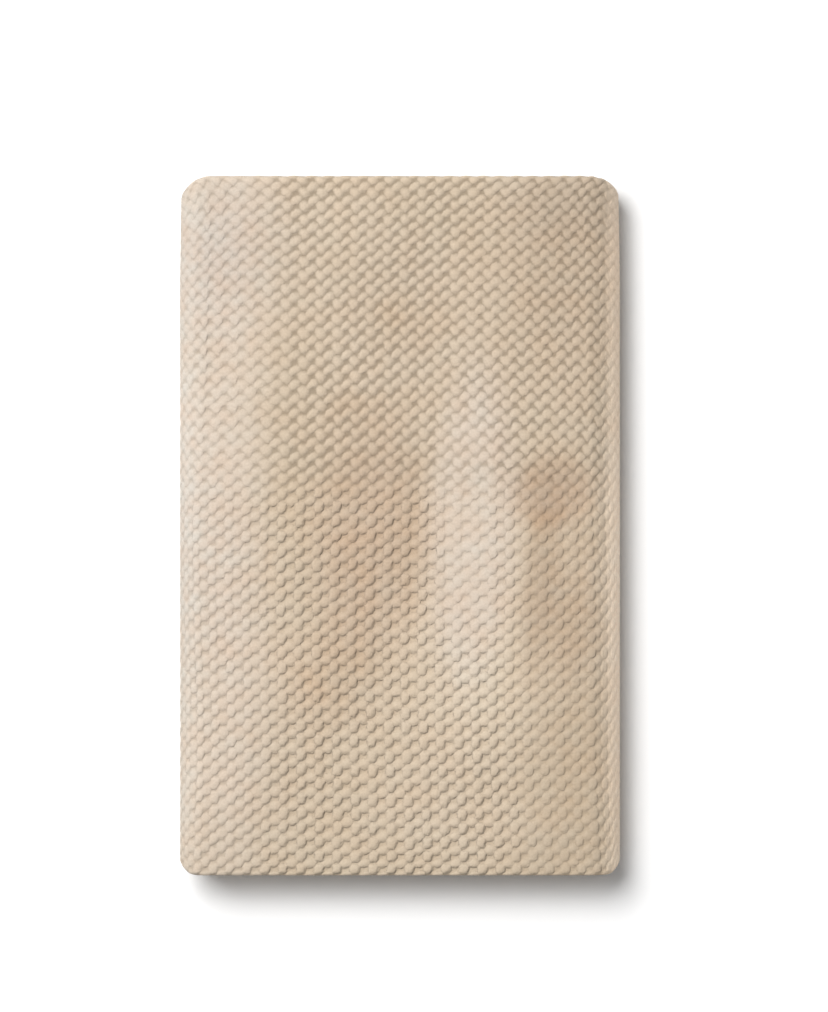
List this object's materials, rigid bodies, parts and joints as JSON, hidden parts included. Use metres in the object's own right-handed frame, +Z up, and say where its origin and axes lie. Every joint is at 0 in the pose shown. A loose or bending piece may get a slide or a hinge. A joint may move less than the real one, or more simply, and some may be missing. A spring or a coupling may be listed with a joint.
{
  "type": "folded knitted blanket",
  "caption": "Thick knitted blanket in moss stitch, halved and wrapped into a flat rectangular stack with rounded sides, soft swells on top and open ends in front.",
  "frame": {"origin": "centre of the flat underside that the folded blanket rests on", "axes": "+Z up, +Y towards the back fold of the halved cloth, with the open ends at -Y, +X towards the wide turned side"},
  "size_m": [0.253, 0.4005, 0.0464],
  "materials": {
    "knit_cotton": "matte moss-stitch knit in oat-coloured cotton yarn, slightly fuzzy"
  },
  "bodies": {
    "root": {"blanket": "knit_cotton"}
  },
  "joints": []
}
